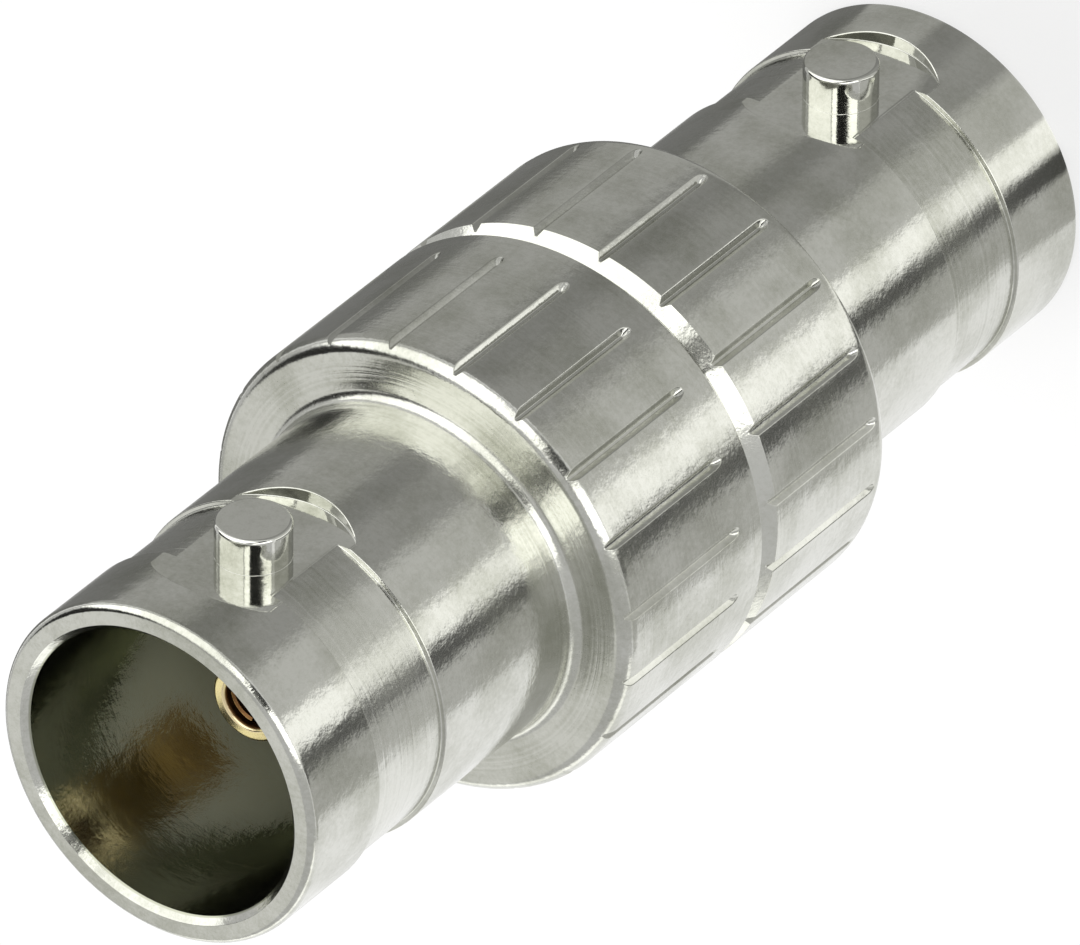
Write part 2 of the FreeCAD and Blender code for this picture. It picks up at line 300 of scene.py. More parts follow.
def measured(place, across, along):
    """Points of a surface place(across, along), with normals and a mask of sharp outer edges."""
    step_across = NORMAL_STEP / RING_RADIUS

    def normal(x, y):
        spread = place(x + step_across, y) - place(x - step_across, y)
        climb = place(x, y + NORMAL_STEP) - place(x, y - NORMAL_STEP)
        crossed = np.cross(spread, climb)
        return crossed / np.maximum(np.linalg.norm(crossed, axis=1), LEAST_NORMAL)[:, None]

    def bend(x_step, y_step):
        moved = place(across + x_step, along + y_step) - place(across - x_step, along - y_step)
        turned = normal(across + x_step, along + y_step) - normal(across - x_step, along - y_step)
        return (moved * turned).sum(axis=1) / np.maximum((moved * moved).sum(axis=1), LEAST_MOVE)

    bends = np.maximum(bend(EDGE_REACH / RING_RADIUS, 0), bend(0, EDGE_REACH))
    edges = np.clip((bends * MM - EDGE_START) / EDGE_RANGE, 0, 1)
    return place(across, along), normal(across, along), edges


def add_band(skin, place, outward, angles, stops, milled=False):
    """Add a grid of quads between rows of points. outward is 1 or -1, whichever turns the normals out."""
    columns, rows = np.meshgrid(angles, stops)
    points, normals, edges = measured(place, columns.ravel(), rows.ravel())
    width = len(angles)
    first = (np.arange(len(stops) - 1)[:, None] * width + np.arange(width - 1)[None]).ravel()
    faces = np.stack([first, first + 1, first + 1 + width, first + width], axis=1)
    skin.add(points, normals * outward, edges, faces, milled)


# Cuts in a turned surface

WALL_HALF = 0.004 * MM
CREASE = 0.02 * MM
FLOOR_CREASE = 0.008 * MM
CREASE_LEVELS = (-1, -0.5, 0, 0.5, 1)
SPOT_ROOT = 0.03 * MM
EDGE_SHARES = (1.0, 0.62, 0.3, 0.08)
ROOT_SHARES = (0.15, 0.5, 1.0)

# Slope of a groove's blind end, as a share of the slope of its walls
RUN_OUT = 0.5

# Most of a cut's depth that its rounded edge or its rounded floor may take
ROUND_SHARE = 0.45

TILE_SAMPLES = 4001
BARREL_SAMPLES = 20001
MERGE_IN_TILE = 1e-5

# The socket's tile: room left of the flat, columns kept clear of rows, and the flat's rim to each side
TILE_MARGIN = 0.25 * MM
CLEAR_COLUMNS = 10
RIM_HALF = math.radians(52)
RIM_POINTS = 53
CREASE_POINTS = 41
SPECKLE_COLUMNS = np.arange(-15, 16)
SPECKLE_SHARES = np.linspace(0.15, 0.95, 8)

# The grip's tile: rows along a rib, and points down a groove's mouth and round its end
RIB_ROWS = 6
GROOVE_POINTS = 9

# Shares that stop just short of a line that is there already
NEARLY = 0.99
BARELY_SHORT = 0.999


def softened(height, crease=CREASE):
    """A height above a cut's floor, kept at or above zero with a soft start."""
    rising = (height + crease) ** 2 / (4 * crease)
    return np.where(height > crease, height, np.where(height < -crease, 0, rising))


def cut_depth(distance, height, edge, root):
    """Depth of a cut at a distance outside its outline, with a rounded edge and floor."""
    edge, root = (np.maximum(np.minimum(size, ROUND_SHARE * height), ROUND_OFF) for size in (edge, root))
    over = np.clip((WALL_HALF + edge - distance) / edge, 0, 1)
    under = np.clip((distance + WALL_HALF + root) / root, 0, 1)
    down = (WALL_HALF - distance) / (2 * WALL_HALF)
    top = edge * (1 - np.sqrt(1 - over ** 2))
    wall = edge + down * (height - edge - root)
    bottom = height - root * (1 - np.sqrt(1 - under ** 2))
    return np.where(distance > WALL_HALF, top, np.where(distance > -WALL_HALF, wall, bottom))


def offsets(edge, root):
    """Distances from a cut's outline at which its wall needs a line of points."""
    outside = [WALL_HALF + edge * share for share in EDGE_SHARES]
    inside = [-WALL_HALF - root * share for share in ROOT_SHARES]
    return outside + [WALL_HALF, -WALL_HALF] + inside


class Tile:
    """Part of a shell between two lengths along its outline, repeated round the axis."""

    def __init__(self, outline, first, last, half_angle):
        self.outline, self.first, self.last, self.half_angle = outline, first, last, half_angle
        self.points, self.lines = [], []
        self.samples = np.linspace(first, last, TILE_SAMPLES)
        self.sample_radii, self.sample_depths = outline.at(self.samples)

    def along(self, depth):
        """Length along the outline at a depth behind the rim."""
        return np.interp(depth, self.sample_depths, self.samples)

    def line(self, angles, lengths, closed=False):
        """Add a line that the triangles must follow."""
        angles, lengths = np.broadcast_arrays(angles, lengths)
        start = len(self.points)
        self.points += list(zip((angles * RING_RADIUS).tolist(), lengths.tolist()))
        count = len(angles)
        self.lines += [(start + index, start + index + 1) for index in range(count - 1)]
        if closed:
            self.lines.append((start + count - 1, start))

    def both_sides(self, angles, lengths):
        """Add a line and its mirror image."""
        self.line(angles, lengths)
        self.line(-angles, lengths)

    def frame(self, rows, inner_rows):
        """Add the tile's own border and the rows that cross it."""
        step = 2 * math.pi / COLUMNS
        half_columns = round(self.half_angle / step)
        columns = np.arange(-half_columns, half_columns + 1) * step
        for row in (self.first, self.last):
            self.line(columns, row)
        for side in (-self.half_angle, self.half_angle):
            self.line(side, np.array(rows))
        for row in inner_rows:
            self.line(columns, row)

    def speckle(self, angles, rows):
        """Add single points, so that no triangle spans far round the axis."""
        self.points += [(angle * RING_RADIUS, row) for row in rows for angle in angles]

    def triangles(self):
        """Triangulate the tile. Returns angles, lengths and faces."""
        corners = [Vector(point) / MM for point in self.points]
        found, _, faces, *_ = delaunay_2d_cdt(corners, self.lines, [], 0, MERGE_IN_TILE)
        flat = np.array([corner[:] for corner in found]) * MM
        return flat[:, 0] / RING_RADIUS, flat[:, 1], np.array(faces, int)


def add_tile(skin, tile, shape, place, turns, smooth, keep=None):
    """Add a tile once for each turn round the axis. smooth says how smoothly its milled places are cut."""
    angles, lengths, faces = tile.triangles()
    if keep is not None:
        faces = faces[keep(angles[faces].mean(axis=1), lengths[faces].mean(axis=1))]
    for turn in turns:
        points, normals, edges = measured(place, angles + turn, lengths)
        cut = np.linalg.norm(points - shape.plain(angles + turn, lengths), axis=1) > MILLED_DEPTH
        skin.add(points, normals * shape.outward, edges, faces.copy(), cut * smooth)


# Shells

class ShellShape:
    """The outline, cuts and bands of one shell. Depths run from the shell's own rim."""

    def __init__(self, sizes, milling, front):
        self.sizes, self.milling, self.front = sizes, milling, front
        self.outward = -1 if front else 1
        self.joint_depth = FULL_LENGTH - JOINT_HEIGHT if front else JOINT_HEIGHT
        if front:
            groove_end = self.joint_depth - milling.front_groove_stop
            self.groove_way = 1
        else:
            groove_end = sizes.ring_depth + milling.rear_groove_stop
            self.groove_way = -1
        self.groove_centre = groove_end - self.groove_way * milling.groove_width / 2 / RUN_OUT
        self.floor_half = milling.groove_floor_width / 2
        cut = RING_RADIUS - milling.groove_floor
        self.groove_slope = cut / (milling.groove_width / 2 - self.floor_half)
        self.outline = Outline(self.corners())

    def corners(self):
        size, joint = self.sizes, self.joint_depth
        edge = size.edge_break
        lean = 0.01 * MM
        band = size.socket_radius - size.relief_cut
        barrel_start = 0.5 * (size.rim_rounding + self.milling.lug_depth - self.milling.spot_radius)
        spigot = SPIGOT_TOP - JOINT_HEIGHT
        if self.front:
            recess, far = size.spigot_radius + size.fit_clearance, joint - spigot - size.spigot_end_gap
        else:
            recess, far = size.spigot_radius, joint + spigot
        seat_depth = SOCKET_DEPTH + size.lip_thickness
        return {
            "barrel start": (size.socket_radius, barrel_start, 0),
            "relief top": (size.socket_radius, size.relief_start - lean, edge),
            "relief floor start": (band, size.relief_start + lean, edge),
            "relief floor end": (band, size.relief_end - lean, edge),
            "relief bottom": (size.socket_radius, size.relief_end + lean, edge),
            "neck fillet": (size.socket_radius, size.ring_depth, size.neck_fillet),
            "shoulder": (RING_RADIUS, size.ring_depth, size.ring_rounding),
            "chamfer edge": (RING_RADIUS, joint - size.joint_chamfer, edge),
            "joint edge": (RING_RADIUS - size.joint_chamfer, joint, edge),
            "joint root": (recess, joint, 0),
            "spigot end": (recess, far, 0),
            "seat mouth": (size.seat_radius, far, 0),
            "seat floor": (size.seat_radius, seat_depth, 0),
            "lip back": (size.lip_radius, seat_depth, 0),
            "lip front": (size.lip_radius, SOCKET_DEPTH, edge),
            "socket floor": (size.bore_radius, SOCKET_DEPTH, edge),
            "bore edge": (size.bore_radius, size.bore_chamfer, edge / 2),
            "rim edge": (size.bore_radius + size.bore_chamfer, 0, edge / 2),
            "rim": (size.socket_radius, 0, size.rim_rounding),
            "barrel end": (size.socket_radius, barrel_start, 0),
        }

    def placed(self, angle, radius, depth):
        return round_axis(angle, radius, depth, self.front)

    def plain(self, angle, along):
        """The turned surface before any cut."""
        return self.placed(angle, *self.outline.at(along))

    def from_lug(self, angle):
        """Angle from the nearest lug."""
        return (angle - LUG_AZIMUTHS[0] + math.pi / 2) % math.pi - math.pi / 2

    def from_groove(self, angle):
        """Angle from the nearest groove, where a lug lies midway between two."""
        pitch = 2 * math.pi / self.milling.rib_count
        return (angle - LUG_AZIMUTHS[0]) % pitch - pitch / 2

    def spotted(self, angle, along):
        """The surface with the flats milled round the lugs."""
        cut = self.milling
        radius, depth = self.outline.at(along)
        turn = self.from_lug(angle)
        height = softened(radius - cut.spot_floor / np.cos(turn))
        distance = np.hypot(radius * np.sin(turn), depth - cut.lug_depth) - cut.spot_radius
        lowered = cut_depth(distance, height, self.sizes.edge_break, SPOT_ROOT)
        return self.placed(angle, radius - lowered, depth)

    def grooved(self, angle, along):
        """The surface with the grip's tapering grooves milled in."""
        cut = self.milling
        radius, depth = self.outline.at(along)
        turn = self.from_groove(angle)
        past = np.maximum((depth - self.groove_centre) * self.groove_way, 0) * RUN_OUT
        aside = softened(np.hypot(radius * np.sin(turn), past) - self.floor_half, FLOOR_CREASE)
        wall = (cut.groove_floor + aside * self.groove_slope) / np.cos(turn)
        return self.placed(angle, radius - softened(radius - wall), depth)

    def socket_tile(self):
        """The band round the lugs, from the rim to the neck. It spans half a turn."""
        cut, size = self.milling, self.sizes
        last = self.length_at(cut.lug_depth + cut.spot_radius + TILE_MARGIN)
        tile = Tile(self.outline, 0.0, last, math.pi / 2)
        rows = self.outline.stops(0.0, last)
        tile.frame(rows, [])
        step = 2 * math.pi / COLUMNS
        side = np.arange(CLEAR_COLUMNS, COLUMNS // 4 + 1) * step
        for row in rows[1:-1]:
            tile.both_sides(side, row)
        arc = np.linspace(-RIM_HALF, RIM_HALF, RIM_POINTS)
        for reach in offsets(size.edge_break, SPOT_ROOT):
            ring = cut.spot_radius + reach
            for way in (-1, 1):
                across = ring * np.sin(arc)
                depth = cut.lug_depth + way * ring * np.cos(arc)
                tile.line(np.arcsin(across / size.socket_radius), tile.along(depth))
        half_width = math.sqrt(size.socket_radius ** 2 - cut.spot_floor ** 2)
        reach = NEARLY * math.sqrt(cut.spot_radius ** 2 - half_width ** 2)
        crease = np.linspace(cut.lug_depth - reach, cut.lug_depth + reach, CREASE_POINTS)
        crease_rows = np.unique(np.concatenate([tile.along(crease), rows[1:-1]]))
        for level in CREASE_LEVELS:
            radius = self.outline.at(crease_rows)[0] - level * CREASE
            tile.both_sides(np.arccos(np.clip(cut.spot_floor / radius, -1, 1)), crease_rows)
        hole = np.arange(LUG_COLUMNS) * 2 * math.pi / LUG_COLUMNS
        foot = cut.lug_radius + cut.lug_root
        tile.line(np.arctan2(foot * np.sin(hole), cut.spot_floor),
                  tile.along(cut.lug_depth + foot * np.cos(hole)), closed=True)
        tile.speckle(SPECKLE_COLUMNS * step, SPECKLE_SHARES * last)
        return tile

    def outside_foot(self, angle, along):
        """Whether a place lies outside the lug's foot."""
        cut = self.milling
        depth = self.outline.at(along)[1]
        across = cut.spot_floor * np.tan(np.clip(angle, -1, 1))
        return np.hypot(across, depth - cut.lug_depth) > cut.lug_radius + cut.lug_root * NEARLY

    def length_at(self, depth):
        """Length along the outline at a depth on the barrel."""
        lengths = np.linspace(0, self.outline.starts["neck fillet"], BARREL_SAMPLES)
        return float(np.interp(depth, self.outline.at(lengths)[1], lengths))

    def grip_tile(self, first, last):
        """One rib's width of the ring, with a groove along its middle."""
        cut = self.milling
        tile = Tile(self.outline, first, last, math.pi / cut.rib_count)
        near, far = self.outline.ends["shoulder"], self.outline.starts["chamfer edge"]
        rows = sorted(self.outline.stops(first, last) + np.linspace(near, far, RIB_ROWS + 2)[1:-1].tolist())
        tile.frame(rows, rows[1:-1])
        sloping = tile.samples <= near if self.front else tile.samples >= far
        lengths, radii = tile.samples[sloping], tile.sample_radii[sloping]
        if not self.front:
            lengths, radii = lengths[::-1], radii[::-1]
        centre = tile.along(self.groove_centre)
        fine = np.interp(np.linspace(cut.groove_floor, RING_RADIUS, GROOVE_POINTS), radii, lengths)
        rows = np.unique(np.concatenate([rows, fine]))
        bow = np.linspace(0, math.pi / 2, GROOVE_POINTS)
        for level in CREASE_LEVELS:
            entry = cut.groove_floor + level * CREASE
            mouth = np.interp(entry, radii, lengths)
            low, high = sorted((mouth, centre))
            path = np.array([low] + [row for row in rows if low < row < high] + [high])
            path = path if self.front else path[::-1]
            radius = self.outline.at(path)[0]
            half = self.floor_half + np.maximum(radius - entry, 0) / self.groove_slope
            end_turn = np.arcsin(half[-1] * np.cos(bow) / RING_RADIUS)
            turn = np.concatenate([[0], np.arcsin(half / radius), end_turn])
            end = tile.along(self.groove_centre + self.groove_way * half[-1] * np.sin(bow) / RUN_OUT)
            tile.both_sides(turn, np.concatenate([[path[0]], path, end]))
        mouth = np.interp(cut.groove_floor + CREASE, radii, lengths)
        for half in (self.floor_half - FLOOR_CREASE, self.floor_half, self.floor_half + FLOOR_CREASE):
            end = tile.along(self.groove_centre + self.groove_way * half * np.sin(bow) / RUN_OUT)
            turn = half * np.concatenate([[1], np.cos(bow)]) / RING_RADIUS
            tile.both_sides(-turn, np.concatenate([[mouth], end]))
        return tile


LUG_COLUMNS = 64
LUG_HOLE = 1e-6


def build_shell(name, node, material, front):
    """Build one shell: turned bands, the two milled tiles and the lugs."""
    scene = bpy.context.scene
    shape = ShellShape(scene.adapter_shell, scene.adapter_milling, front)
    outline, skin = shape.outline, Skin()
    columns = LUG_AZIMUTHS[0] + np.arange(COLUMNS + 1) * 2 * math.pi / COLUMNS

    socket = shape.socket_tile()
    add_tile(skin, socket, shape, shape.spotted, LUG_AZIMUTHS, SPOT_SMOOTH, shape.outside_foot)

    ring_start, joint_corner = outline.starts["shoulder"], outline.ends["joint edge"]
    add_band(skin, shape.plain, shape.outward, columns, outline.stops(socket.last, ring_start))
    grip = shape.grip_tile(ring_start, joint_corner)
    pitch = 2 * math.pi / shape.milling.rib_count
    turns = [LUG_AZIMUTHS[0] + pitch * (index + 0.5) for index in range(shape.milling.rib_count)]
    add_tile(skin, grip, shape, shape.grooved, turns, GROOVE_SMOOTH)
    add_band(skin, shape.plain, shape.outward, columns, outline.stops(joint_corner, outline.length))
    add_lugs(skin, shape)
    skin.piece(name, material, "nickel", node)


def add_lugs(skin, shape):
    """Add both lugs, each turned about its own axis and open at its foot. A fan of faces fills the
    tiny hole that the turned band leaves in the middle of a lug's end."""
    cut = shape.milling
    outline = Outline({
        "foot": (cut.lug_radius + cut.lug_root, cut.spot_floor, 0),
        "root": (cut.lug_radius, cut.spot_floor, cut.lug_root * BARELY_SHORT),
        "end edge": (cut.lug_radius, cut.lug_reach, cut.lug_edge),
        "middle": (0.0, cut.lug_reach, 0),
    })
    around = np.arange(LUG_COLUMNS + 1) * 2 * math.pi / LUG_COLUMNS
    height = FULL_LENGTH - cut.lug_depth if shape.front else cut.lug_depth
    climb = -1 if shape.front else 1
    up = np.array([0, 0, 1.0])
    for azimuth in LUG_AZIMUTHS:
        outward = np.array([math.cos(azimuth), math.sin(azimuth), 0])
        aside = np.array([-math.sin(azimuth), math.cos(azimuth), 0])

        def place(angle, along):
            radius, reach = outline.at(along)
            spread = (radius * np.sin(angle))[:, None] * aside
            rise = (radius * np.cos(angle) * climb + height)[:, None] * up
            return reach[:, None] * outward + spread + rise

        stops = outline.stops(0, outline.length)
        stops[-1] = outline.length - LUG_HOLE
        add_band(skin, place, -climb, around, stops, True)
        hole = place(around, np.full(len(around), stops[-1]))
        points = np.concatenate([hole, [outward * cut.lug_reach + up * height]])
        normals = np.repeat(outward[None], len(points), axis=0)
        faces = [(index, index + 1, len(points) - 1) for index in range(LUG_COLUMNS)]
        skin.add(points, normals, np.zeros(len(points)), faces, True)


# Contact hoods

HOOD_ENTRY = 0.7 * MM
HOOD_INSIDE = 0.94 * MM
HOOD_LIP = 0.25 * MM
HOOD_LIP_EDGE = 0.01 * MM
HOOD_ROLL = 0.13 * MM
HOOD_COLUMNS = 96


def build_hood(name, node, material, front):
    """The thin gold sleeve round the contact, with a rolled lip at its entry."""
    back, start = CONTACT_DEPTH + HOOD_LENGTH, CONTACT_DEPTH + HOOD_LENGTH / 2
    behind_lip = CONTACT_DEPTH + HOOD_LIP
    outline, skin = Outline({
        "start": (HOOD_RADIUS, start, 0),
        "back": (HOOD_RADIUS, back, 0),
        "back inside": (HOOD_INSIDE, back, 0),
        "behind the lip": (HOOD_INSIDE, behind_lip, 0),
        "lip back": (HOOD_ENTRY, behind_lip, HOOD_LIP_EDGE),
        "lip": (HOOD_ENTRY, CONTACT_DEPTH, HOOD_ROLL),
        "outer edge": (HOOD_RADIUS, CONTACT_DEPTH, HOOD_ROLL),
        "end": (HOOD_RADIUS, start, 0),
    }), Skin()

    def place(angle, along):
        return round_axis(angle, *outline.at(along), front)

    around = np.arange(HOOD_COLUMNS + 1) * 2 * math.pi / HOOD_COLUMNS
    add_band(skin, place, -1 if front else 1, around, outline.stops(0, outline.length))
    skin.piece(name, material, "gold", node)


# Materials

class Network:
    """Adds nodes to a material or a node group, with numbers or links as their inputs."""

    def __init__(self, tree):
        self.tree = tree

    def add(self, kind, inputs=(), **settings):
        """Add a node and fill its inputs, given by name or number. Returns its outputs."""
        made = self.tree.nodes.new(kind)
        for name, setting in settings.items():
            setattr(made, name, setting)
        for socket, given in dict(inputs).items():
            if isinstance(given, bpy.types.NodeSocket):
                self.tree.links.new(given, made.inputs[socket])
            else:
                made.inputs[socket].default_value = given
        return made.outputs

    def math(self, operation, *given, clamp=False):
        return self.add("ShaderNodeMath", enumerate(given), operation=operation, use_clamp=clamp)[0]

    def times(self, first, second):
        return self.math("MULTIPLY", first, second)

    def minus(self, first, second):
        return self.math("SUBTRACT", first, second)

    def weighted(self, *terms, offset=0.0, clamp=False):
        """Sum of values, each times its weight, and an offset."""
        total = offset
        for value, weight in terms[:-1]:
            total = self.math("MULTIPLY_ADD", value, weight, total)
        return self.math("MULTIPLY_ADD", *terms[-1], total, clamp=clamp)

    def spread(self, value, low, high, to_low=0.0, to_high=1.0):
        """A smooth step from one value to another."""
        given = enumerate((value, low, high, to_low, to_high))
        return self.add("ShaderNodeMapRange", given, interpolation_type="SMOOTHSTEP")[0]

    def noise(self, place, scale, detail, dimensions="3D"):
        given = {"W" if dimensions == "1D" else "Vector": place, "Scale": scale, "Detail": detail}
        return self.add("ShaderNodeTexNoise", given, noise_dimensions=dimensions)["Fac"]

    def blend(self, factor, first, second):
        return self.add("ShaderNodeMix", {0: factor, 6: first, 7: second}, data_type="RGBA")[2]

    def place(self):
        return self.add("ShaderNodeTexCoord")["Object"]

    def reach(self):
        """Distance from the axis, and height."""
        parts = self.add("ShaderNodeSeparateXYZ", {0: self.place()})
        squares = [self.times(part, part) for part in parts[:2]]
        return self.math("SQRT", self.math("ADD", *squares)), parts[2]

    def from_middle(self):
        """Distance from the middle of the adapter's length."""
        _, height = self.reach()
        return self.math("ABSOLUTE", self.minus(height, FULL_LENGTH / 2))

    def attribute(self, name):
        return self.add("ShaderNodeAttribute", attribute_name=name)

    def effect(self, fill, given):
        """Place the shared node group that a function fills. Returns its outputs."""
        return self.add("ShaderNodeGroup", {0: given}, node_tree=shared_group(fill))

    def relief(self, height, distance):
        """Turn heights of 0 to 1 into a normal. distance is the height of 1, in metres."""
        given = {"Strength": 1, "Distance": distance, "Height": height}
        return self.add("ShaderNodeBump", given)["Normal"]

    def surface(self, metallic, base, roughness, **more):
        given = {"Metallic": metallic, "Base Color": base, "Roughness": roughness, **more}
        return self.add("ShaderNodeBsdfPrincipled", given)["BSDF"]

    def glow(self, colour):
        return self.add("ShaderNodeEmission", {"Color": colour})["Emission"]

    def show(self, shader):
        self.add("ShaderNodeOutputMaterial", {"Surface": shader})


def shared_group(fill):
    """Find or make the node group that a function fills. The function returns its outputs by name."""
    name = fill.__name__
    if name in bpy.data.node_groups:
        return bpy.data.node_groups[name]
    tree = bpy.data.node_groups.new(name, "ShaderNodeTree")
    size = tree.interface.new_socket("Size", in_out="INPUT", socket_type="NodeSocketFloat")
    size.default_value = 0.1 * MM
    network = Network(tree)
    made = fill(network, network.add("NodeGroupInput")[0])
    for label in made:
        tree.interface.new_socket(label, in_out="OUTPUT", socket_type="NodeSocketFloat")
    network.add("NodeGroupOutput", made)
    return tree


def turning_marks(network, spacing):
    """Fine rings that a lathe tool leaves round the axis, along walls and across faces."""
    reach, height = network.reach()
    along = network.math("DIVIDE", network.math("ADD", reach, height), spacing)
    rings = network.noise(along, 1.0, 2.0, "1D")
    bands = network.noise(along, 0.13, 1.0, "1D")
    strength = network.spread(bands, 0.38, 0.62, 0.25, 1.0)
    return {"Rings": network.times(network.minus(rings, 0.5), strength)}


def satin_grain(network, size):
    """Fine uneven grain of a tumbled and plated surface."""
    place = network.place()
    coarse = network.noise(place, network.math("DIVIDE", 1.0, size), 2.0)
    fine = network.noise(place, network.math("DIVIDE", 2.7, size), 3.0)
    grain = network.weighted((coarse, 0.6), (fine, 0.4), offset=-0.5)
    return {"Grain": grain, "Specks": network.spread(fine, 0.6, 0.72)}


def handling_patches(network, size):
    """Broad, faint patches of dulled plating."""
    broad = network.noise(network.place(), network.math("DIVIDE", 1.0, size), 4.0)
    return {"Patches": network.spread(broad, 0.35, 0.68)}


def inside_mask(network, distance):
    """One inside a distance from the axis, and zero outside it."""
    reach, _ = network.reach()
    return {"Inside": network.spread(reach, network.minus(distance, 0.04 * MM), distance, 1.0, 0.0)}


def start_material(name):
    material = bpy.data.materials.new(name)
    material.use_nodes = True
    material.node_tree.nodes.clear()
    return material, Network(material.node_tree)


def tinted(colour, share, tint=(1.0, 1.0, 1.0)):
    """A darker or lighter version of a colour."""
    return (*[min(1.0, part * share * hue) for part, hue in zip(colour, tint)], 1.0)


def nickel_material(colour):
    """Bright nickel plate over turned brass, with tool marks, grain and dull patches, a painted highlight
    on sharp edges and painted shade down the bore.
    """
    material, network = start_material("nickel_plate")
    sizes = bpy.context.scene.adapter_shell
    reach, _ = network.reach()
    depth = network.minus(FULL_LENGTH / 2, network.from_middle())
    grain, specks = network.effect(satin_grain, 0.16 * MM)
    waves = network.effect(satin_grain, 0.8 * MM)["Grain"]
    patches = network.effect(handling_patches, 2.2 * MM)[0]
    inside = network.effect(inside_mask, sizes.bore_radius + 0.06 * MM)[0]
    outside = network.minus(1.0, inside)
    unmilled = network.minus(1.0, network.attribute("milled")["Fac"])

    # Tool marks are deep in the relief band and at the neck's foot, and shallow elsewhere
    blur = 0.1 * MM
    band_start = network.spread(depth, sizes.relief_start - blur, sizes.relief_start + blur)
    band_end = network.spread(depth, sizes.relief_end - blur, sizes.relief_end + blur, 1.0, 0.0)
    foot = network.spread(depth, sizes.ring_depth - 1.2 * MM, sizes.ring_depth - 0.3 * MM)
    grip = network.spread(reach, RING_RADIUS - 0.6 * MM, RING_RADIUS - 0.4 * MM, 1.0, 0.3)
    marked = network.math("MAXIMUM", network.times(band_start, band_end), network.times(foot, grip))
    marked = network.times(marked, outside)
    mark_depth = network.times(network.weighted((marked, 0.75), offset=0.25), unmilled)
    rings = network.times(network.effect(turning_marks, 0.12 * MM)[0], mark_depth)

    surface = network.weighted((rings, 2.4), (grain, 1.5), (waves, 4.5), offset=2.25)
    surface = network.times(surface, network.weighted((unmilled, 0.75), offset=0.25))
    normal = network.relief(surface, 0.0036 * MM)

    dull = network.weighted((patches, 0.65), (rings, 0.99), (grain, 1.32), offset=0.05, clamp=True)
    # Painted highlight: the mask of sharp outer edges lightens the plate's colour there.
    edge = network.times(network.attribute("edge")["Fac"], 0.35)
    plate = network.blend(dull, tinted(colour, 1.08), tinted(colour, 0.72, (1.0, 1.01, 0.94)))
    plate = network.blend(edge, plate, tinted(colour, 1.25))
    # Painted shade: inside the mask, the plate is darkened and tinted olive down the bore.
    plate = network.blend(inside, plate, tinted(colour, 0.62, (1.0, 1.02, 0.88)))

    specks = network.times(specks, outside)
    rough = network.weighted((patches, 0.07), (specks, 0.08), (marked, 0.05), offset=0.13)
    rough = network.times(rough, network.weighted((unmilled, 0.6), offset=0.4))
    network.show(network.surface(1, plate, rough, Normal=normal))
    return material


def gold_material(colour):
    """Gold plate on a turned contact, with a painted highlight at its lip and painted shade down its bore.
    """
    material, network = start_material("gold_plate")
    rings = network.effect(turning_marks, 0.06 * MM)[0]
    grain = network.effect(satin_grain, 0.11 * MM)["Grain"]
    patches = network.effect(handling_patches, 1.2 * MM)[0]
    inside = network.effect(inside_mask, 0.76 * MM)[0]
    normal = network.relief(network.weighted((rings, 0.8), (grain, 0.8)), 0.0025 * MM)
    # Painted highlight: the lip at the contact's mouth takes the pale, full gold colour.
    lip_end = FULL_LENGTH / 2 - CONTACT_DEPTH
    lip = network.spread(network.from_middle(), lip_end - 0.2 * MM, lip_end - 0.1 * MM)
    clean, dulled = tinted(colour, 0.92, (1.0, 0.8, 0.5)), tinted(colour, 0.8, (1.0, 0.78, 0.45))
    plate = network.blend(patches, clean, dulled)
    plate = network.blend(lip, plate, tinted(colour, 1.0))
    # Painted shade: the plate is darkened to a deep brown down the contact's bore.
    plate = network.blend(inside, plate, tinted(colour, 0.26, (1.0, 0.6, 0.4)))
    rough = network.weighted((patches, 0.1), (inside, 0.2), offset=0.16)
    network.show(network.surface(1, plate, rough, Normal=normal))
    return material


def insulator_material(colour):
    """White fluoropolymer, turned and a little waxy."""
    material, network = start_material("white_insulator")
    rings = network.effect(turning_marks, 0.12 * MM)[0]
    grain = network.effect(satin_grain, 0.2 * MM)["Grain"]
    patches = network.effect(handling_patches, 1.5 * MM)[0]
    normal = network.relief(network.weighted((rings, 1.0), (grain, 0.5)), 0.004 * MM)
    body = network.blend(patches, tinted(colour, 1.03), tinted(colour, 0.93, (1.0, 0.99, 0.96)))
    body = network.blend(network.spread(rings, 0.0, 0.2, 0.0, 0.35), body, tinted(colour, 0.86))
    rough = network.weighted((patches, 0.12), offset=0.36)
    network.show(network.surface(0, body, rough, Normal=normal))
    return material


FLOOR_GLOW = 0.75


def floor_material(colour):
    """Pale seamless paper with a faint tooth. What the camera and the metal see of it mostly glows."""
    material, network = start_material("floor_paper")
    tooth = network.noise(network.place(), 900.0, 3.0)
    paper = network.blend(tooth, tinted(colour, 0.995), tinted(colour, 1.005))
    path = network.add("ShaderNodeLightPath")
    seen = network.math("MAXIMUM", path["Is Camera Ray"], path["Is Glossy Ray"])
    seen = network.math("MAXIMUM", seen, path["Is Transmission Ray"])
    shaders = {1: network.surface(0, paper, 0.95), 2: network.glow((1, 1, 1, 1))}
    network.show(network.add("ShaderNodeMixShader", {0: network.times(seen, FLOOR_GLOW), **shaders})[0])
    return material


def card_material(name, tone=None):
    """A card's own light: one tone, or the tones of its points."""
    material, network = start_material(name)
    network.show(network.glow(network.attribute("tone")["Color"] if tone is None else warm_grey(tone)))
    return material


def warm_grey(tone):
    return (tone, tone, tone * 0.97, 1)


# Stage

CAMERA_AZIMUTH = math.radians(-129.8)
CAMERA_ELEVATION = math.radians(42.43)
CAMERA_ROLL = math.radians(-128.38)
CAMERA_DISTANCE = 484.84 * MM
CAMERA_AIM = Vector((0, 0, 17.476 * MM))
CAMERA_LENS = 633.0
CAMERA_SENSOR = 36

FLOOR_HALF = 3.0
WORLD_TONE = 0.6

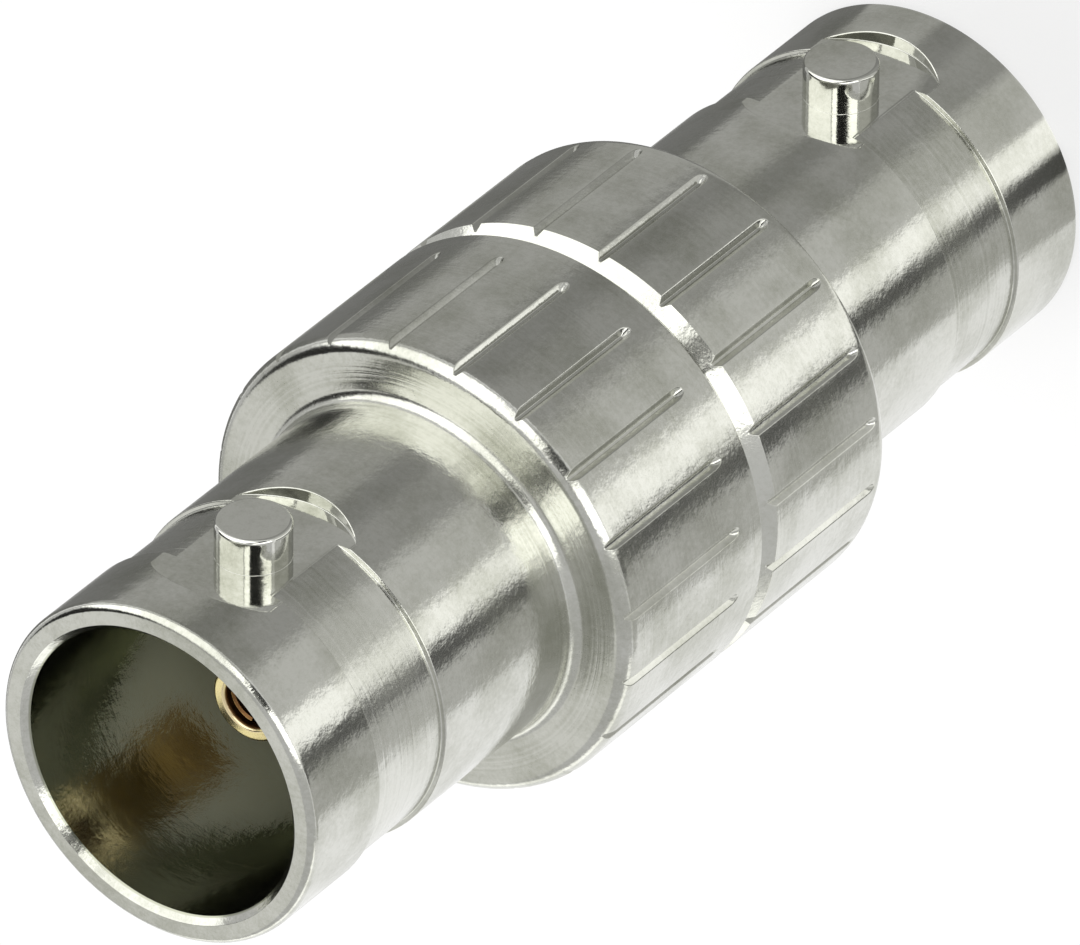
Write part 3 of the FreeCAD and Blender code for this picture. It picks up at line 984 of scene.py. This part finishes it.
# Sheets on the floor round the adapter. Each fills the reflection, in the wall of a socket, of the
# stretch from one angle to another, in degrees across the wall from its left outline, with a tone.
FLOOR_SHEETS = (
    ("grey far", 0, 7, 0.42),
    ("dark far", 7, 31, 0.20),
    ("grey left", 33, 56, 0.44),
    ("dark left", 59, 66, 0.28),
    ("grey middle", 70, 81, 0.36),
    ("grey front", 85, 99.5, 0.62),
    ("strip light", 101.5, 109, 1.3),
    ("black front", 112, 117, 0.10),
    ("grey right", 119, 134, 0.55),
)
SHEET_FOOT = 4.6 * MM
SHEET_HEIGHT = 0.04 * MM
SHEET_REACH = 220 * MM

# Cards that stand off in the air, each between two azimuths and two elevations, in degrees
AIR_CARDS = (
    ("white_card_left", -100, -15, 10, 75, 1.8),
    ("white_card_camera", -121, -104, 20, 75, 2.3),
    ("black_card_camera", -142, -121, 8, 66, 0.02),
    ("white_card_right", -172, -142, 2, 55, 2.3),
    ("pale_card_back", 22, 72, 18, 65, 0.8),
    ("white_card_low", 64, 140, -1, 14, 1.5),
    ("black_card_back", -14, 21, 20, 62, 0.02),
)
AIR_DISTANCE = 0.75
CARD_COLUMNS = 9
CARD_ROWS = 5


def direction(azimuth, elevation):
    flat = math.cos(elevation)
    return Vector((flat * math.cos(azimuth), flat * math.sin(azimuth), math.sin(elevation)))


def add_camera():
    camera = add_object("camera", bpy.data.cameras.new("camera"))
    toward = direction(CAMERA_AZIMUTH, CAMERA_ELEVATION)
    camera.location = CAMERA_AIM + toward * CAMERA_DISTANCE
    turn = toward.to_track_quat("Z", "Y") @ Euler((0, 0, CAMERA_ROLL)).to_quaternion()
    camera.rotation_euler = turn.to_euler()
    camera.data.lens = CAMERA_LENS
    camera.data.sensor_width = CAMERA_SENSOR
    camera.data.clip_start = 0.01
    camera.data.clip_end = 20
    bpy.context.scene.camera = camera


def add_floor(colour):
    mesh = bpy.data.meshes.new("floor")
    corners = [(x * FLOOR_HALF, y * FLOOR_HALF, 0) for x, y in ((-1, -1), (1, -1), (1, 1), (-1, 1))]
    mesh.from_pydata(corners, [], [(0, 1, 2, 3)])
    mesh.materials.append(floor_material(colour))
    add_object("floor", mesh)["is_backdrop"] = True


def add_card(name, grid, material, tones=()):
    """Add a card from a grid of points, with a tone for each column. Only the metal sees it."""
    width = len(grid[0])
    starts = [row * width + column for row in range(len(grid) - 1) for column in range(width - 1)]
    faces = [(start, start + 1, start + 1 + width, start + width) for start in starts]
    mesh = bpy.data.meshes.new(name)
    mesh.from_pydata([point for row in grid for point in row], [], faces)
    mesh.materials.append(material)
    if tones:
        layer = mesh.attributes.new("tone", "FLOAT_COLOR", "POINT")
        layer.data.foreach_set("color", [part for _ in grid for tone in tones for part in warm_grey(tone)])
    card = add_object(name, mesh)
    card.visible_camera = False
    card.visible_shadow = False
    card.visible_diffuse = False
    card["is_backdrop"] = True


def add_floor_sheets():
    """Lay the sheets on the floor, fanned out from the socket's foot, with blended borders."""
    stops = [stop for _, first, last, _ in FLOOR_SHEETS for stop in (first, last)]
    levels = [tone for *_, tone in FLOOR_SHEETS for _ in (0, 1)]
    angles = np.unique(np.concatenate([np.arange(stops[0], stops[-1], 1.0), stops]))
    near, far = [], []
    for angle in np.radians(angles).tolist():
        facing = CAMERA_AZIMUTH + math.pi / 2 - angle
        seen = CAMERA_AZIMUTH + math.pi - 2 * angle
        near.append(direction(facing, 0) * SHEET_FOOT + Vector((0, 0, SHEET_HEIGHT)))
        far.append(near[-1] + direction(seen, 0) * SHEET_REACH)
    tones = np.interp(angles, stops, levels).tolist()
    add_card("floor_sheets", [near, far], card_material("floor_sheets"), tones)


def add_air_card(name, first, last, low, high, tone):
    """Hang a card in the air round the adapter."""
    azimuths = np.radians(np.linspace(first, last, CARD_COLUMNS)).tolist()
    elevations = np.radians(np.linspace(low, high, CARD_ROWS)).tolist()
    grid = [[CAMERA_AIM + direction(azimuth, elevation) * AIR_DISTANCE for azimuth in azimuths]
            for elevation in elevations]
    add_card(name, grid, card_material(name, tone))


def add_lamp(name, azimuth, elevation, distance, size, power):
    """Hang a square lamp round the adapter. The metal doesn't see it."""
    lamp = bpy.data.lights.new(name, "AREA")
    lamp.shape = "SQUARE"
    lamp.size = size
    lamp.energy = power
    made = add_object(name, lamp)
    toward = direction(math.radians(azimuth), math.radians(elevation))
    made.location = CAMERA_AIM + toward * distance
    made.rotation_euler = toward.to_track_quat("Z", "Y").to_euler()
    made.visible_glossy = False


def set_world(tone):
    world = bpy.data.worlds.new("studio")
    bpy.context.scene.world = world
    world.use_nodes = True
    back = world.node_tree.nodes["Background"]
    back.inputs["Color"].default_value = (tone, tone, tone, 1)
    back.inputs["Strength"].default_value = 1


# Operators

def finish_node(name, material):
    """Give a CAD node another material."""
    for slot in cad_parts[name].material_slots:
        slot.material = material


class ADAPTER_OT_shells(bpy.types.Operator):
    """Build both nickel-plated shells"""
    bl_idname = "adapter.shells"
    bl_label = "Shells"

    def execute(self, context):
        nickel = nickel_material(context.scene.adapter_colours.nickel)
        build_shell("front_socket_shell", "front_shell", nickel, True)
        build_shell("rear_socket_shell", "rear_shell", nickel, False)
        return {"FINISHED"}


class ADAPTER_OT_contact(bpy.types.Operator):
    """Build the contact's hoods and finish the contact in gold"""
    bl_idname = "adapter.contact"
    bl_label = "Contact"

    def execute(self, context):
        gold = gold_material(context.scene.adapter_colours.gold)
        build_hood("front_hood", "front_contact_hood", gold, True)
        build_hood("rear_hood", "rear_contact_hood", gold, False)
        finish_node("centre_contact", gold)
        return {"FINISHED"}


class ADAPTER_OT_insulators(bpy.types.Operator):
    """Finish the insulators"""
    bl_idname = "adapter.insulators"
    bl_label = "Insulators"

    def execute(self, context):
        white = insulator_material(context.scene.adapter_colours.insulator)
        finish_node("front_insulator", white)
        finish_node("rear_insulator", white)
        return {"FINISHED"}


class ADAPTER_OT_stage(bpy.types.Operator):
    """Set the floor, cards, lamps and camera"""
    bl_idname = "adapter.stage"
    bl_label = "Stage"

    def execute(self, context):
        context.scene.view_settings.view_transform = "Standard"
        add_floor(context.scene.adapter_colours.floor)
        add_floor_sheets()
        for card in AIR_CARDS:
            add_air_card(*card)
        add_lamp("key_softbox", azimuth=50, elevation=60, distance=0.6, size=0.5, power=3.2)
        set_world(WORLD_TONE)
        add_camera()
        return {"FINISHED"}


class ADAPTER_PT_panel(bpy.types.Panel):
    """List the steps that build the adapter"""
    bl_idname = "ADAPTER_PT_panel"
    bl_label = "Bayonet barrel adapter"
    bl_space_type = "VIEW_3D"
    bl_region_type = "UI"
    bl_category = "Adapter"

    def draw(self, context):
        for step in STEPS:
            self.layout.operator(step.bl_idname)


STEPS = (ADAPTER_OT_shells, ADAPTER_OT_contact, ADAPTER_OT_insulators, ADAPTER_OT_stage)
GROUPS = {"adapter_shell": ShellSizes, "adapter_milling": MillingSizes, "adapter_colours": FinishColours}
CLASSES = (*GROUPS.values(), *STEPS, ADAPTER_PT_panel)


def register():
    for one in CLASSES:
        bpy.utils.register_class(one)
    for name, group in GROUPS.items():
        setattr(bpy.types.Scene, name, PointerProperty(type=group))


def unregister():
    for name in GROUPS:
        delattr(bpy.types.Scene, name)
    for one in reversed(CLASSES):
        bpy.utils.unregister_class(one)


def main():
    """Build everything in order."""
    register()
    bpy.ops.adapter.shells()
    bpy.ops.adapter.contact()
    bpy.ops.adapter.insulators()
    bpy.ops.adapter.stage()
    boxes = {"cad": CAD_BOX, "visual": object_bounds()}
    {name: [list(corner) for corner in box] for name, box in boxes.items()}


if __name__ == "__main__":
    main()
